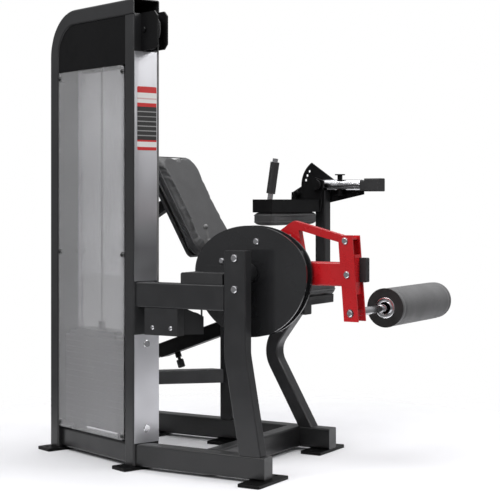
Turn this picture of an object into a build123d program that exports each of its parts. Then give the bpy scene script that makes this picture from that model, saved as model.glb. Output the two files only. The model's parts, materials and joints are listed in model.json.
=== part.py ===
from build123d import *
import os
from math import atan2, cos, degrees, hypot, pi, radians, sin, tan

# Seated leg curl and extension machine with a selectorised weight tower. Millimetres, +Z up.
# While it is being built, X = 0 is the knee axis, Y = 0 the near face of the near post and Z = 0 the
# floor. The user faces +X and sits over the far rail. Every piece is shifted at the end, so that the
# origin is the middle of the whole machine's footprint.

# ---- driving dimensions ----
RAIL_TOP = 80
PLATE_T = 10                       # thickness of the foot plates
TUBE_WALL = 3
KNEE_Z = 628                       # height of the knee axis
SEAT_Y = 590                       # middle of the seat and of the far rail
TOWER_AT = (-365, -10)             # outer near corner of the tower
TOWER_TURN = -20                   # turn of the tower about Z, in degrees
TOWER_W, TOWER_D, TOWER_H = 500, 100, 1490
CABLE_R = 3
CAM_R = 199                        # outer radius of the cam plates
CAM_TOP_R = 145                    # height of the cam above the knee axis
WRAP_R = 188                       # cable centre line on the cam
CAM_Y = 112                        # middle plane of the cam
BACK_LEAN = 30                     # backrest's lean from the vertical
CARRIAGE_RISE = 20                 # slope of the backrest carriage
FIT = 0.05                         # radial clearance of a running fit
GAP = 0.5                          # air gap between bodies that only pass each other

nodes = {}


def add(name, shape):
    nodes[name] = shape


def fasten(name, bolts, holders):
    """One node for a set of fasteners, with their holes cut in the pieces that hold them."""
    group = Compound(bolts)
    add(name, group)
    for holder in holders:
        for bolt in bolts:
            nodes[holder] = nodes[holder] - bolt


def bar(x, y, z):
    """Solid block between two corners, given as three (low, high) pairs."""
    size = [high - low for low, high in (x, y, z)]
    middle = [(high + low) / 2 for low, high in (x, y, z)]
    return Pos(*middle) * Box(*size)


def rod(start, end, radius):
    """Round bar from one point to another."""
    axis = Vector(*end) - Vector(*start)
    plane = Plane(origin=start, z_dir=axis)
    return plane * extrude(Circle(radius), axis.length)


def ring(start, end, radius, bore):
    """Round bar with a bore."""
    return rod(start, end, radius) - rod(start, end, bore)


def rod_y(x, z, y0, y1, radius):
    return rod((x, y0, z), (x, y1, z), radius)


def tube(points, bends, across, tall, side, wall=TUBE_WALL):
    """Rectangular hollow tube along a flat route; side is the direction of its across dimension."""
    path = Polyline(*points) if len(points) == 2 else FilletPolyline(*points, radius=bends)
    start = Plane(origin=path @ 0, z_dir=path % 0, x_dir=side)
    corner = min(across, tall) * 0.12
    section = RectangleRounded(across, tall, corner)
    section -= RectangleRounded(across - 2 * wall, tall - 2 * wall, corner / 2)
    return sweep(start * section, path=path)


def plate_xz(points, y0, y1):
    """Flat plate with an outline in X and Z, from y0 to y1."""
    face = make_face(Polyline(*[(x, y0, z) for x, z in points], close=True))
    return extrude(face, amount=y1 - y0, dir=(0, 1, 0))


def turned(point, centre, angle):
    """Point turned about centre, anticlockwise seen from the near side."""
    dx, dz = point[0] - centre[0], point[1] - centre[1]
    c, s = cos(radians(angle)), sin(radians(angle))
    return centre[0] + dx * c - dz * s, centre[1] + dx * s + dz * c


tower = Pos(TOWER_AT[0], TOWER_AT[1], 0) * Rot(0, 0, TOWER_TURN)


def tower_point(x, y, z):
    """Point of the tower's own frame in the machine's frame."""
    c, s = cos(radians(TOWER_TURN)), sin(radians(TOWER_TURN))
    return TOWER_AT[0] + x * c - y * s, TOWER_AT[1] + x * s + y * c, z


def dome_bolt(x, y, z, radius=9, height=6, into=12, towards=-1):
    """Round bolt head with its shank, along Y; towards is the way the head faces."""
    head = rod_y(x, z, min(y, y + towards * height), max(y, y + towards * height), radius)
    head = chamfer(head.edges().filter_by(GeomType.CIRCLE).sort_by(Axis.Y)[0 if towards < 0 else -1], 2.5)
    shank = rod_y(x, z, min(y, y - towards * into), max(y, y - towards * into), radius * 0.45)
    return head + shank


# ---- base ----
NEAR_Y = (0, 50)
FAR_Y = (SEAT_Y - 25, SEAT_Y + 25)
RAIL_TALL = RAIL_TOP - PLATE_T
RAIL_Z = PLATE_T + RAIL_TALL / 2
FOOT_W, FOOT_L = 75, 185
FOOT_HOLE_R = 6
FOOT_HOLE_PITCH = 155
NEAR_FOOT_X = 87
FAR_FOOT_X = -4
REAR_FOOT_X = -672
COLUMN_X = -375
CROSS_X = -105
FOOT_SPOTS = [(NEAR_FOOT_X, 25), (FAR_FOOT_X, SEAT_Y), (REAR_FOOT_X, SEAT_Y), (COLUMN_X, SEAT_Y)]


def foot_plate():
    plate = extrude(RectangleRounded(FOOT_W, FOOT_L, 6), PLATE_T)
    for side in (-1, 1):
        plate -= Pos(0, side * FOOT_HOLE_PITCH / 2, 0) * Cylinder(FOOT_HOLE_R, 4 * PLATE_T)
    return chamfer(plate.faces().sort_by(Axis.Z)[-1].edges(), 1)


PLUG_T = 4                         # thickness of the closed ends of 50 mm wide tubes


def end_plug(x, y, z, tall):
    return bar((x, x + PLUG_T), (y - 24, y + 24), (z - tall / 2 + 1, z + tall / 2 - 1))


def base():
    # The near rail is cut to the tower's turned face.
    rail = tube([(-420, 25, RAIL_Z), (105, 25, RAIL_Z)], 0, 50, RAIL_TALL, (0, 1, 0))
    rail -= tower * bar((-400, 0), (-300, 400), (0, 200))
    rail += end_plug(105 - PLUG_T, 25, RAIL_Z, RAIL_TALL)
    add("near_rail", rail)
    far = tube([(-700, SEAT_Y, RAIL_Z), (34, SEAT_Y, RAIL_Z)], 0, 50, RAIL_TALL, (0, 1, 0))
    far += end_plug(-700, SEAT_Y, RAIL_Z, RAIL_TALL) + end_plug(34 - PLUG_T, SEAT_Y, RAIL_Z, RAIL_TALL)
    add("far_rail", far)
    cross = [(CROSS_X, NEAR_Y[1], RAIL_Z), (CROSS_X, FAR_Y[0], RAIL_Z)]
    add("cross_tube", tube(cross, 0, 50, RAIL_TALL, (1, 0, 0)))
    plates = [Pos(x, y, 0) * foot_plate() for x, y in FOOT_SPOTS]
    plates += [tower * Pos(x, TOWER_D / 2, 0) * foot_plate() for x in (-25, -TOWER_W + 25)]
    add("foot_plates", Compound(plates))


# ---- near post, side arm and far frame ----
POST_W, POST_T, POST_TOP = 76, 40, 698
POST_BEND_Z = 383
POST_FOOT_X = 54
ARM_Z = (514, 593)
SEAT_RAIL_Z = (460, 510)
SEAT_CROSS_X = -117
SEAT_CROSS_Z = (486, 510)
THIGH_POST_Y = (790, 835)
BEARING_R = 30


def supports():
    middle = POST_T / 2
    slope = POST_FOOT_X / (POST_BEND_Z - RAIL_TOP)
    start = (POST_FOOT_X + 40 * slope, middle, RAIL_TOP - 40)
    route = [start, (0, middle, POST_BEND_Z), (0, middle, POST_TOP)]
    post = tube(route, 160, POST_T, POST_W, (0, 1, 0))
    post += bar((-POST_W / 2 + 1, POST_W / 2 - 1), (1, POST_T - 1), (POST_TOP - 4, POST_TOP))
    post -= bar((-200, 300), (-10, 60), (RAIL_TOP - 90, RAIL_TOP))
    add("near_post", post)
    arm = tube([(-450, middle, sum(ARM_Z) / 2), (-POST_W / 2, middle, sum(ARM_Z) / 2)], 0,
               POST_T, ARM_Z[1] - ARM_Z[0], (0, 1, 0))
    arm -= tower * bar((-400, 0), (-300, 400), (0, 900))
    slot = tower_point(OUTER_CABLE_X, TOWER_D / 2, 0)
    arm -= bar((slot[0] - 12, slot[0] + 12), (slot[1] - 8, slot[1] + 8), (400, 700))
    add("side_arm", arm)
    leg = [(-40, SEAT_Y, RAIL_TOP - 35), (-208, SEAT_Y, 338), (-96, SEAT_Y, SEAT_RAIL_Z[0] + 30)]
    leg_tube = tube(leg, 90, 50, 46, (0, 1, 0))
    leg_tube -= bar((-300, 300), FAR_Y, (0, RAIL_TOP)) + bar((-300, 300), FAR_Y, (SEAT_RAIL_Z[0], 600))
    add("far_leg", leg_tube)
    column = [(COLUMN_X, SEAT_Y, RAIL_TOP), (COLUMN_X, SEAT_Y, SEAT_RAIL_Z[0])]
    add("seat_column", tube(column, 0, 50, 50, (0, 1, 0)))
    seat_rail = tube([(-400, SEAT_Y, sum(SEAT_RAIL_Z) / 2), (-60, SEAT_Y, sum(SEAT_RAIL_Z) / 2)], 0,
                     50, SEAT_RAIL_Z[1] - SEAT_RAIL_Z[0], (0, 1, 0))
    tall = SEAT_RAIL_Z[1] - SEAT_RAIL_Z[0]
    seat_rail += end_plug(-400, SEAT_Y, sum(SEAT_RAIL_Z) / 2, tall)
    seat_rail += end_plug(-60 - PLUG_T, SEAT_Y, sum(SEAT_RAIL_Z) / 2, tall)
    cross = tube([(SEAT_CROSS_X, SEAT_Y + 25, sum(SEAT_CROSS_Z) / 2),
                  (SEAT_CROSS_X, THIGH_POST_Y[1], sum(SEAT_CROSS_Z) / 2)], 0,
                 60, SEAT_CROSS_Z[1] - SEAT_CROSS_Z[0], (1, 0, 0))
    add("seat_frame", seat_rail + cross)
    # The brace runs level from the column to the tower's rear upright.
    far_end = tower_point(-TOWER_W + 25, TOWER_D - 20, 232)
    near_end = (COLUMN_X - 20, SEAT_Y - 15, 232)
    across = (Vector(*near_end) - Vector(*far_end)).cross(Vector(0, 0, 1)).normalized()
    brace = tube([far_end, near_end], 0, 40, 48, across)
    brace -= tower * bar((-600, 100), (-300, TOWER_D), (0, 900))
    brace -= bar((COLUMN_X - 25, 0), (SEAT_Y - 25, SEAT_Y + 25), (100, 400))
    brace -= bar((-900, 900), (SEAT_Y - 25, SEAT_Y + 200), (100, 400))
    add("brace_tube", brace)


# ---- weight tower ----
UPRIGHT = 50
TOP_BEND = 150
SHIELD_X = (-446, -60)
SHIELD_Z = (84, 1283)
SHIELD_T = 4
TAB = 18
TAB_ROWS = (97, 677, 1263)
TAB_X = (-66, -440)
STACK_X = -254
STACK_W, STACK_D = 350, 68
PLATE_PITCH = 20
PLATE_COUNT = 15
LIFTED = 6
STACK_FLOOR = 100
ROD_OFFSET = 130
ROD_R = 9
ROD_TOP = 1312
PULLEY_R = 42                      # cable centre line on the top pulleys
PULLEY_Z = 1391
OUTER_CABLE_X = 62
INNER_PULLEY_X = STACK_X + PULLEY_R
OUTER_PULLEY_X = OUTER_CABLE_X - PULLEY_R
PULLEY_WIDE = 16
AXLE_R = 6
OPEN_TOP = 600                     # top of the open part of the far side


def tower_frame():
    middle = TOWER_D / 2
    inner = UPRIGHT / 2
    front = tube([(-inner, middle, PLATE_T), (-inner, middle, TOWER_H - UPRIGHT)], 0,
                 TOWER_D, UPRIGHT, (0, 1, 0))
    bent = tube([(-TOWER_W + inner, middle, PLATE_T), (-TOWER_W + inner, middle, TOWER_H - inner),
                 (0, middle, TOWER_H - inner)], TOP_BEND - inner, TOWER_D, UPRIGHT, (0, 1, 0))
    rail = tube([(-TOWER_W + UPRIGHT, middle, 45), (-UPRIGHT, middle, 45)], 0, 70, 66, (0, 1, 0))
    beam = bar((-TOWER_W + UPRIGHT, -UPRIGHT), (30, 70), (ROD_TOP, ROD_TOP + 8))
    frame = front + bent + rail + beam
    for x in TAB_X:
        for z in TAB_ROWS:
            edge = -UPRIGHT if x > -TOWER_W / 2 else -TOWER_W + UPRIGHT
            span = (min(edge, x - TAB / 2), max(edge, x + TAB / 2))
            for y in ((6, 6 + TAB), (TOWER_D - 6 - TAB, TOWER_D - 6)):
                if y[0] < middle or z > OPEN_TOP:
                    frame += bar(span, y, (z - TAB / 2, z + TAB / 2))
    # The cable leaves through a slot near the top of the front upright.
    frame -= bar((-UPRIGHT - 5, 5), (middle - 11, middle + 11), (PULLEY_Z - 53, TOWER_H - UPRIGHT - 1))
    frame -= Pos(STACK_X, middle, ROD_TOP) * Cylinder(CABLE_R + 3, 40)
    # The inner pulley hangs between two cheeks under the top tube.
    for y in ((middle - 22, middle - 16), (middle + 16, middle + 22)):
        cheek = bar((INNER_PULLEY_X - 32, INNER_PULLEY_X + 32), y, (PULLEY_Z - 62, TOWER_H - UPRIGHT))
        frame += cheek
    frame += rod_y(INNER_PULLEY_X, PULLEY_Z, middle - 22, middle + 22, AXLE_R)
    add("tower_frame", tower * frame)


def shield(y0, z0):
    panel = bar(SHIELD_X, (y0, y0 + SHIELD_T), (z0, SHIELD_Z[1]))
    return fillet(panel.edges().filter_by(Axis.Y), 12)


def shroud(y0):
    """Sheet that closes the tower's head above the shield, following the bent tube."""
    inner_bend = TOP_BEND - UPRIGHT
    left, right = -TOWER_W + UPRIGHT + 1, -UPRIGHT - 1
    low, high = SHIELD_Z[1] + 2, TOWER_H - UPRIGHT - 1
    sheet = bar((left, right), (y0, y0 + 3), (low, high))
    corner = sheet.edges().filter_by(Axis.Y).group_by(Axis.Z)[-1].sort_by(Axis.X)[0]
    return fillet(corner, inner_bend)


def tower_covers():
    add("shield_near", tower * shield(1, SHIELD_Z[0]))
    add("shield_far", tower * shield(TOWER_D - 1 - SHIELD_T, OPEN_TOP))
    add("top_shrouds", tower * Compound([shroud(4), shroud(TOWER_D - 7)]))
    bolts = []
    for x in TAB_X:
        for z in TAB_ROWS:
            bolts.append(dome_bolt(x, 1, z, 7, 4, 14))
            if z > OPEN_TOP:
                bolts.append(dome_bolt(x, TOWER_D - 1, z, 7, 4, 14, towards=1))
    fasten("shield_bolts", [tower * bolt for bolt in bolts], ("tower_frame", "shield_near", "shield_far"))
    covers = []
    for low, high in ((RAIL_TOP + 2, ARM_Z[0] - 88), (ARM_Z[1] + 2, PULLEY_Z - 68)):
        cover = bar((0.2, 2.2), (3, TOWER_D - 3), (low, high))
        for z in COVER_HOLES:
            if low < z < high:
                cover -= rod((-5, TOWER_D / 2, z), (8, TOWER_D / 2, z), 13)
        covers.append(cover)
    add("upright_covers", tower * Compound(covers))


COVER_HOLES = (126, 395)


def cover_plug(z):
    plug = rod((0.2, TOWER_D / 2, z), (5, TOWER_D / 2, z), 12.5)
    return chamfer(plug.edges().filter_by(GeomType.CIRCLE).sort_by(Axis.X)[-1], 2)


COVER_PLUGS = [cover_plug(z) for z in COVER_HOLES]


def weight_plate(z):
    plate = bar((STACK_X - STACK_W / 2, STACK_X + STACK_W / 2), ((TOWER_D - STACK_D) / 2,
                (TOWER_D + STACK_D) / 2), (z, z + PLATE_PITCH - 1))
    plate = chamfer(plate.edges().filter_by(Axis.Z), 4)
    for side in (-1, 1):
        plate -= Pos(STACK_X + side * ROD_OFFSET, TOWER_D / 2, z) * Cylinder(ROD_R + 1.5, 80)
    plate -= Pos(STACK_X, TOWER_D / 2, z) * Cylinder(STEM_R + 1.5, 80)
    hole_z = z + PLATE_PITCH / 2 - 0.5
    return plate - rod((STACK_X, TOWER_D / 2, hole_z), (STACK_X, TOWER_D + 60, hole_z), PIN_R + 0.4)


STEM_R = 11
PIN_R = 5
HEAD_W = 224
HEAD_T = 24


def weight_stack():
    middle = TOWER_D / 2
    resting = PLATE_COUNT - LIFTED
    low = [weight_plate(STACK_FLOOR + PLATE_PITCH * i) for i in range(resting)]
    high = [weight_plate(STACK_FLOOR + PLATE_PITCH * i) for i in range(resting, PLATE_COUNT)]
    add("resting_plates", tower * Compound(low))
    add("lifted_plates", tower * Compound(high))
    head_z = STACK_FLOOR + PLATE_PITCH * PLATE_COUNT
    head = bar((STACK_X - HEAD_W / 2, STACK_X + HEAD_W / 2), (20, 80), (head_z, head_z + HEAD_T))
    for side in (-1, 1):
        spot = Pos(STACK_X + side * 90, middle, head_z)
        head -= spot * Cylinder(4, 80)
    ears = bar((STACK_X - 170, STACK_X + 170), (30, 70), (head_z, head_z + 10))
    head = head + ears
    for side in (-1, 1):
        head -= Pos(STACK_X + side * ROD_OFFSET, middle, head_z) * Cylinder(ROD_R + FIT, 160)
    stem_low = STACK_FLOOR + 2
    stem = rod((STACK_X, middle, stem_low), (STACK_X, middle, head_z + 50), STEM_R)
    pin_z = STACK_FLOOR + PLATE_PITCH * resting + PLATE_PITCH / 2 - 0.5
    stem -= rod((STACK_X, middle - 20, pin_z), (STACK_X, middle + 20, pin_z), PIN_R + 0.05)
    add("head_plate", tower * (head + stem))
    pin = rod((STACK_X, middle - 11, pin_z), (STACK_X, TOWER_D + 4, pin_z), PIN_R)
    knob = rod((STACK_X, TOWER_D + 4, pin_z), (STACK_X, TOWER_D + 34, pin_z), 15)
    knob = fillet(knob.edges().filter_by(GeomType.CIRCLE), 4)
    add("selector_pin", tower * (pin + knob))
    rods = [rod((STACK_X + side * ROD_OFFSET, middle, 78), (STACK_X + side * ROD_OFFSET, middle, ROD_TOP),
                ROD_R) for side in (-1, 1)]
    add("guide_rods", tower * Compound(rods))
    buffers = []
    for side in (-1, 1):
        x = STACK_X + side * ROD_OFFSET
        buffers.append(ring((x, middle, 78), (x, middle, STACK_FLOOR), 22, ROD_R))
    add("rubber_buffers", tower * Compound(buffers))
    cable_low = head_z + 50
    add("stack_cable", tower * rod((STACK_X, middle, cable_low), (STACK_X, middle, PULLEY_Z), CABLE_R))


# ---- pulleys and cable ----
TRANSFER_Z = 440                   # lowest line of the cable under the side arm
TRANSFER_R = (30, 26)


def pulley(radius, wide=PULLEY_WIDE):
    """Grooved pulley about Y, centred on the origin; radius is the cable's centre line."""
    half = wide / 2
    rim = radius + 5
    floor = radius - CABLE_R - 0.3
    bore = AXLE_R + FIT
    outline = [(bore, -half), (rim, -half), (rim, -half + 2), (floor, -3.4), (floor, 3.4), (rim, half - 2),
               (rim, half), (bore, half)]
    return revolve(make_face(Polyline(*[(x, y, 0) for x, y in outline], close=True)), Axis.Y)


def transfer_frame():
    """Vertical plane through the outer cable and the cam's cable: its start, direction and length."""
    start = Vector(*tower_point(OUTER_CABLE_X, TOWER_D / 2, 0))
    end = Vector(-WRAP_R, CAM_Y, 0)
    return start, (end - start).normalized(), (end - start).length


def pulleys():
    middle = TOWER_D / 2
    add("inner_top_pulley", tower * Pos(INNER_PULLEY_X, middle, PULLEY_Z) * pulley(PULLEY_R))
    add("outer_top_pulley", tower * Pos(OUTER_PULLEY_X, middle, PULLEY_Z) * pulley(PULLEY_R))
    # Two eight-sided cheeks carry the outer pulley on the front upright.
    cut = 16
    x0, x1 = 2.5, 88
    z0, z1 = PULLEY_Z - 66, PULLEY_Z + 54
    outline = [(x0, z0), (x1 - cut, z0), (x1, z0 + cut), (x1, z1 - cut), (x1 - cut, z1), (x0, z1)]
    cheeks = [plate_xz(outline, y, y + 5) for y in (middle - 21, middle + 16)]
    back = bar((x0, x0 + 5), (middle - 21, middle + 21), (z0, z1))
    back -= bar((x0 - 2, x0 + 9), (middle - 11, middle + 11), (PULLEY_Z - 53, z1 - 1))
    axle = rod_y(OUTER_PULLEY_X, PULLEY_Z, middle - 21, middle + 21, AXLE_R)
    heads = dome_bolt(OUTER_PULLEY_X, middle - 21, PULLEY_Z, 9, 6, 8)
    heads += dome_bolt(OUTER_PULLEY_X, middle + 21, PULLEY_Z, 9, 6, 8, towards=1)
    add("top_pulley_bracket", tower * (cheeks[0] + cheeks[1] + back + axle + heads))
    # The transfer pulleys lie in one vertical plane and lead the cable from the tower to the cam.
    start, along, length = transfer_frame()
    turn = Rot(0, 0, degrees(atan2(along.Y, along.X)))
    transfer = Pos(start.X, start.Y, 0) * turn
    spots = (TRANSFER_R[0], length - TRANSFER_R[1])
    for name, x, radius in zip(("tower_side_pulley", "cam_side_pulley"), spots, TRANSFER_R):
        add(name, transfer * Pos(x, 0, TRANSFER_Z + radius) * pulley(radius, 14))
    box = []
    for y in (-14, 10):
        outline = [(-8, TRANSFER_Z - 12), (length + 4, TRANSFER_Z - 12), (length + 4, TRANSFER_Z + 44),
                   (80, ARM_Z[0] - 0.2), (4, ARM_Z[0] - 0.2)]
        box.append(plate_xz(outline, y, y + 4))
    bracket = box[0] + box[1]
    for x, radius in zip(spots, TRANSFER_R):
        bracket += rod_y(x, TRANSFER_Z + radius, -14, 14, AXLE_R)
    bracket += bar((58, 80), (-14, 14), (ARM_Z[0] - 12, ARM_Z[0] - 0.2))
    cover = bar((-330, -206), (0.5, 3.5), (ARM_Z[0] - 86, ARM_Z[0] - 0.5))
    cover += bar((-209, -206), (0.5, 38), (ARM_Z[0] - 86, ARM_Z[0] - 0.5))
    room = bar((-8, length - 40), (-9.5, 9.5), (TRANSFER_Z - 12, ARM_Z[0]))
    hidden = transfer * bracket
    add("transfer_bracket", hidden + (cover - transfer * room - hidden))
    return transfer, length


def cables(transfer, length):
    middle = TOWER_D / 2
    high = PULLEY_Z + PULLEY_R
    # Top run: over the inner pulley, across, over the outer pulley and down to the side arm.
    route = FilletPolyline((STACK_X, middle, PULLEY_Z + 1), (STACK_X, middle, high),
                           (OUTER_CABLE_X, middle, high), (OUTER_CABLE_X, middle, ARM_Z[1] + 60),
                           radius=PULLEY_R - 1.2)
    section = Plane(origin=route @ 0, z_dir=route % 0) * Circle(CABLE_R)
    high_run = tower * sweep(section, path=route)
    # Lower run: through the side arm, under both transfer pulleys and up to the cam.
    route = FilletPolyline((0, 0, ARM_Z[1] + 60), (0, 0, TRANSFER_Z), (length, 0, TRANSFER_Z),
                           (length, 0, KNEE_Z - 52), radius=[TRANSFER_R[0] - 0.6, TRANSFER_R[1] - 0.6])
    section = Plane(origin=route @ 0, z_dir=route % 0) * Circle(CABLE_R)
    add("main_cable", Compound([high_run, transfer * sweep(section, path=route)]))


# ---- cam and swing arm ----
CAM_T = 7
CAM_GAP = 28                       # between the two cam plates
CAM_NEAR = CAM_Y - CAM_GAP / 2 - CAM_T
CAM_FAR = CAM_Y + CAM_GAP / 2 + CAM_T
SHAFT_R = 16
ARM_Y = (CAM_FAR + 2, CAM_FAR + 58)
ARM_TALL = 72
SWING_Z = (487, 745)
SWING_W = 47
SWING_TOP_X = 306
SWING_LEAN = 4.5
SWING_T = 6
ROLLER_AT = (323, 512)
ROLLER_Y = (SEAT_Y - 206, SEAT_Y + 206)
ROLLER_R = 61
WRAP_FROM, WRAP_TO = 150, 296      # part of the cam that carries cable at rest, from +X upwards


def cam_outline():
    """Round below the knee axis, lower above it."""
    lower = ThreePointArc((-CAM_R, 0), (0, -CAM_R), (CAM_R, 0))
    upper = EllipticalCenterArc((0, 0), CAM_R, CAM_TOP_R, start_angle=0, arc_size=180)
    return make_face([lower, upper])


def knee(shape, y):
    """Shape drawn on XY, extruded towards +Y once it stands at the knee axis."""
    return Pos(0, y, KNEE_Z) * Rot(90, 0, 0) * shape


def cam():
    plates = []
    for y in (CAM_NEAR + CAM_T, CAM_FAR):
        plates.append(knee(extrude(cam_outline(), CAM_T), y))
    inside = (CAM_NEAR + CAM_T, CAM_FAR - CAM_T)
    drum = rod_y(0, KNEE_Z, *inside, 60)
    groove = ring((0, inside[0], KNEE_Z), (0, inside[1], KNEE_Z), WRAP_R - CABLE_R, WRAP_R - 22)
    groove &= bar((-300, 300), (0, 300), (0, KNEE_Z + 70))
    body = plates[0] + plates[1] + drum + groove
    # Stop lug: a bar on the near face that rests on the rubber stop.
    body += bar((-152, -46), (CAM_NEAR - 26, CAM_NEAR), (STOP_TOP, STOP_TOP + 20))
    body -= rod_y(0, KNEE_Z, 0, 300, SHAFT_R)
    add("cam", body)
    arc = CenterArc((0, 0), WRAP_R, WRAP_FROM, WRAP_TO - WRAP_FROM)
    section = Plane(origin=arc @ 0, z_dir=arc % 0) * Circle(CABLE_R - 0.3)
    wrapped = Pos(0, CAM_Y, KNEE_Z) * Rot(90, 0, 0) * sweep(section, path=arc)
    top = (WRAP_R * cos(radians(WRAP_FROM)), KNEE_Z + WRAP_R * sin(radians(WRAP_FROM)))
    way = Vector(-0.22, 0, 0.975)
    start = Vector(top[0], CAM_Y, top[1])
    eye = rod_y(start.X, start.Z, CAM_NEAR + CAM_T + 1, CAM_FAR - CAM_T - 1, 8)
    neck = rod(tuple(start), tuple(start + way * 42), 5)
    ball = Pos(*(start + way * 46)) * Sphere(9)
    add("cam_cable", wrapped + eye + neck + ball)


STOP_TOP = 628


def bearing():
    housing = ring((0, POST_T, KNEE_Z), (0, CAM_NEAR - 3, KNEE_Z), BEARING_R, SHAFT_R + FIT)
    flange = bar((-30, 30), (POST_T, POST_T + 8), (KNEE_Z - 62, KNEE_Z + 62))
    flange -= rod_y(0, KNEE_Z, 0, 200, SHAFT_R + FIT)
    add("bearing_housing", housing + flange)
    shaft = rod_y(0, KNEE_Z, POST_T + 0.5, ARM_Y[1], SHAFT_R)
    add("pivot_shaft", shaft)
    block = bar((-196, -44), (3, CAM_NEAR - 4), (ARM_Z[1] + 0.3, STOP_TOP - 0.3))
    block -= bar((-300, 0), (POST_T, 300), (0, ARM_Z[1] + 4))
    block = fillet(block.edges().filter_by(Axis.Y).group_by(Axis.Z)[-1], 7)
    nodes["rubber_buffers"] = Compound(list(nodes["rubber_buffers"].solids()) + [block.solid()])


def swing_arm():
    low, high = KNEE_Z - ARM_TALL / 2, KNEE_Z + ARM_TALL / 2
    y0, y1 = ARM_Y[0] + SWING_T, ARM_Y[1] - SWING_T
    middle = (y0 + y1) / 2
    arm = tube([(-40, middle, KNEE_Z), (SWING_TOP_X + 24.5, middle, KNEE_Z)], 0, y1 - y0, ARM_TALL, (0, 1, 0))
    arm += ring((0, CAM_FAR, KNEE_Z), (0, ARM_Y[1], KNEE_Z), 34, SHAFT_R)
    arm -= rod_y(0, KNEE_Z, 0, 400, SHAFT_R)
    # Upper brace: from the top of the swing plates to an apex, then down to the arm.
    thick = 25
    apex = (124, 776)
    tip = (SWING_TOP_X, SWING_Z[1] - 16)
    outline = [(tip[0], tip[1] + 12), (apex[0], apex[1] + 12), (apex[0] - 16, apex[1] + 4),
               (apex[0] - 100, apex[1] - 52), (apex[0] - 90, apex[1] - 72), (apex[0] - 12, apex[1] - 28),
               (apex[0] + 8, high), (apex[0] + 34, high), (apex[0] + 16, apex[1] - 16), (tip[0], tip[1] - 12)]
    brace = plate_xz(outline, middle - thick / 2, middle + thick / 2)
    # Gusset that joins the brace's rear leg to the arm.
    gusset = [(apex[0] - 100, apex[1] - 52), (apex[0] - 90, apex[1] - 72), (apex[0] - 70, high),
              (apex[0] - 96, high)]
    brace += plate_xz(gusset, middle - thick / 2, middle + thick / 2)
    add("swing_arm", arm + brace)
    holes = [(SWING_TOP_X, SWING_Z[1] - 16), (SWING_TOP_X + 6, KNEE_Z), ROLLER_AT]
    for name, y in (("swing_plate_near", ARM_Y[0]), ("swing_plate_far", ARM_Y[1] - SWING_T)):
        shift = (SWING_Z[1] - SWING_Z[0]) * tan(radians(SWING_LEAN))
        left = SWING_TOP_X - SWING_W / 2
        outline = [(left, SWING_Z[1]), (left + SWING_W, SWING_Z[1]),
                   (left + SWING_W + shift, SWING_Z[0]), (left + shift, SWING_Z[0])]
        plate = plate_xz(outline, y, y + SWING_T)
        plate -= rod_y(ROLLER_AT[0], ROLLER_AT[1], 0, 400, ROLLER_SHAFT_R)
        add(name, plate)
    cap = bar((SWING_TOP_X - 20, SWING_TOP_X + 20), (y0, y1), (SWING_Z[1] - 12, SWING_Z[1] - 6))
    cap += bar((SWING_TOP_X + 24, SWING_TOP_X + 30), (y0, y1), (KNEE_Z - 60, KNEE_Z + 60))
    nodes["swing_arm"] = nodes["swing_arm"] + cap
    block = bar((SWING_TOP_X + 30.5, SWING_TOP_X + 52), (ARM_Y[1] - 18, ARM_Y[1] + 6), (604, 678))
    block -= nodes["swing_plate_far"]
    add("swing_rubber", fillet(block.edges().filter_by(Axis.Y).group_by(Axis.X)[-1], 4))
    bolts = []
    for x, z in holes:
        bolts.append(dome_bolt(x, ARM_Y[0], z, 10, 6, 4))
        if (x, z) != ROLLER_AT:
            bolts.append(dome_bolt(x, ARM_Y[1], z, 10, 6, 4, towards=1))
    bolts.append(dome_bolt(24, CAM_NEAR, KNEE_Z + 96, 10, 6, 4))
    bolts.append(dome_bolt(-100, CAM_NEAR, KNEE_Z + 34, 9, 6, 4))
    fasten("swing_bolts", bolts, ("swing_plate_near", "swing_plate_far", "cam"))


ROLLER_SHAFT_R = 12.5
HUB_R = 36


def roller():
    x, z = ROLLER_AT
    shaft = rod_y(x, z, ARM_Y[0] + 6, ROLLER_Y[1] - 12, ROLLER_SHAFT_R)
    add("roller_shaft", shaft)
    skin = rod_y(x, z, ROLLER_Y[0] + 4, ROLLER_Y[1], ROLLER_R)
    skin = fillet(skin.edges().filter_by(GeomType.CIRCLE).sort_by(Axis.Y)[-1], 16)
    skin -= rod_y(x, z, 0, ROLLER_Y[1] - 8, HUB_R)
    add("roller_pad", skin)
    core = ring((x, ROLLER_Y[0] + 30, z), (x, ROLLER_Y[1] - 9, z), HUB_R, ROLLER_SHAFT_R + FIT)
    core += ring((x, ROLLER_Y[0], z), (x, ROLLER_Y[0] + 31, z), HUB_R, HUB_R - 3)
    core += ring((x, ROLLER_Y[0], z), (x, ROLLER_Y[0] + 4, z), ROLLER_R + 1, HUB_R - 3)
    add("roller_core", core)


# ---- seat and backrest ----
SEAT_X = (-372, -20)
SEAT_Z = (522, 600)
SEAT_HALF = 196
BACK_L, BACK_T, BACK_HALF = 412, 52, 138
BACK_TOP = (-613, 1026)            # front top edge of the backrest
BOARD_T = 12
CARRIAGE_AT = (-545, 346)
CARRIAGE_LEN = (-120, 168)
SLIDE_OUT = -215


def seat():
    pad = bar(SEAT_X, (SEAT_Y - SEAT_HALF, SEAT_Y + SEAT_HALF), SEAT_Z)
    pad = fillet(pad.edges().filter_by(Axis.Z), 40)
    pad = fillet(pad.faces().sort_by(Axis.Z)[-1].edges(), 18)
    add("seat_cushion", pad)
    board = bar((SEAT_X[0] + 20, SEAT_X[1] - 20), (SEAT_Y - SEAT_HALF + 20, SEAT_Y + SEAT_HALF - 20),
                (SEAT_RAIL_Z[1], SEAT_Z[0]))
    add("seat_board", fillet(board.edges().filter_by(Axis.Z), 30))


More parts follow.
